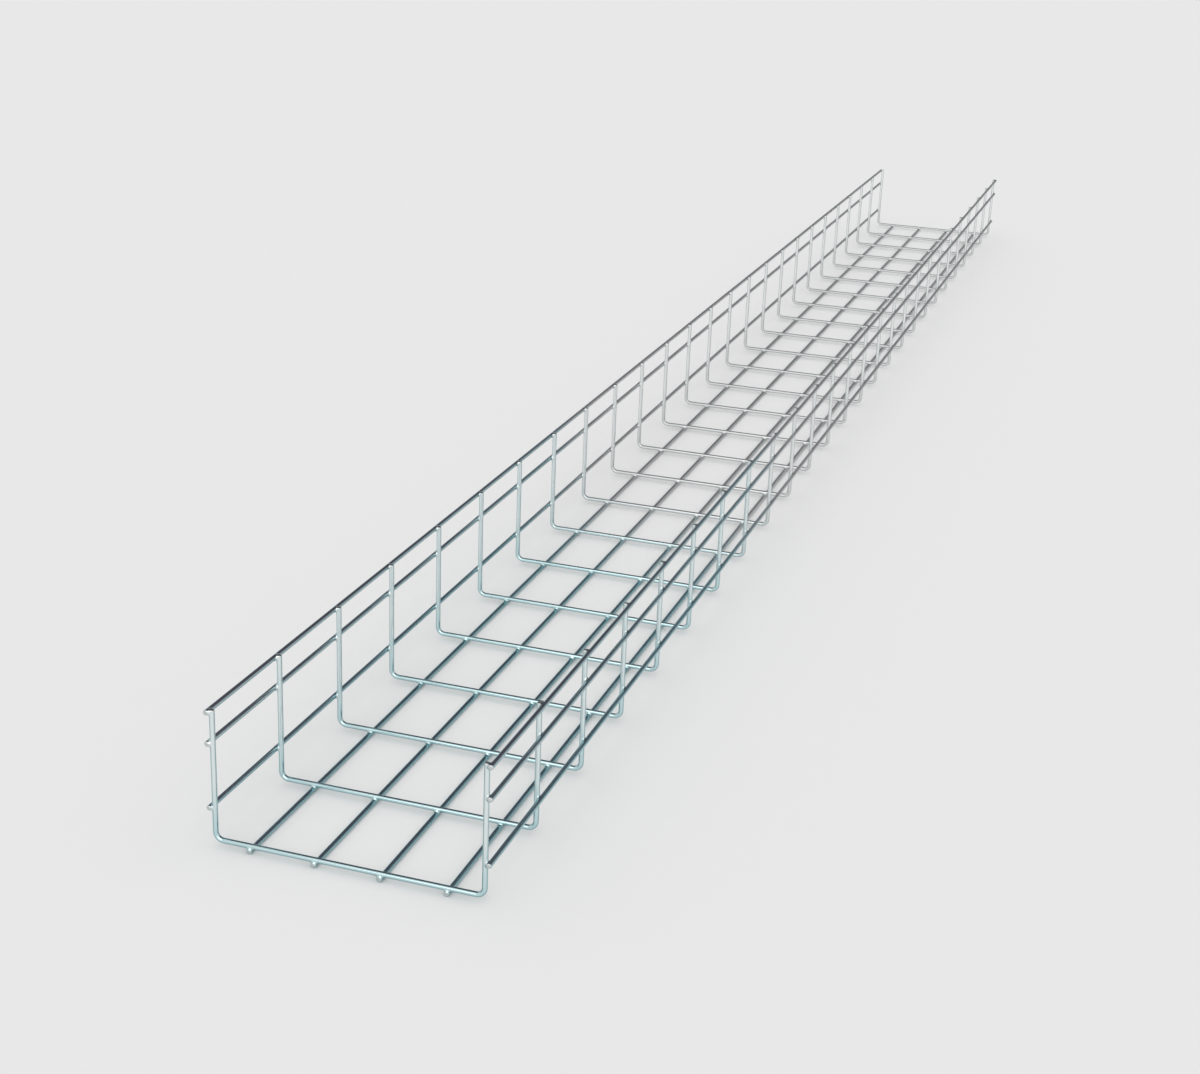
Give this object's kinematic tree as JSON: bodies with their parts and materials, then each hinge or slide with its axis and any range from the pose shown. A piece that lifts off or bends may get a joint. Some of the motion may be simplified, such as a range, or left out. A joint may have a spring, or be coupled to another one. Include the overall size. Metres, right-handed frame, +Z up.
{
  "type": "wire mesh cable tray",
  "caption": "Straight length of U-shaped wire mesh cable tray, open on top and at both ends, of bent cross wires welded inside straight galvanised steel wires.",
  "frame": {"origin": "on the floor the tray stands on, under the middle of its length and width", "axes": "+X along the tray, Y across it, +Z up through its open top"},
  "size_m": [2.506, 0.2146, 0.1063],
  "materials": {
    "zinc_coated_wire": "bright zinc-coated drawn steel wire"
  },
  "bodies": {
    "root": {"welded_mesh": "zinc_coated_wire"}
  },
  "joints": []
}
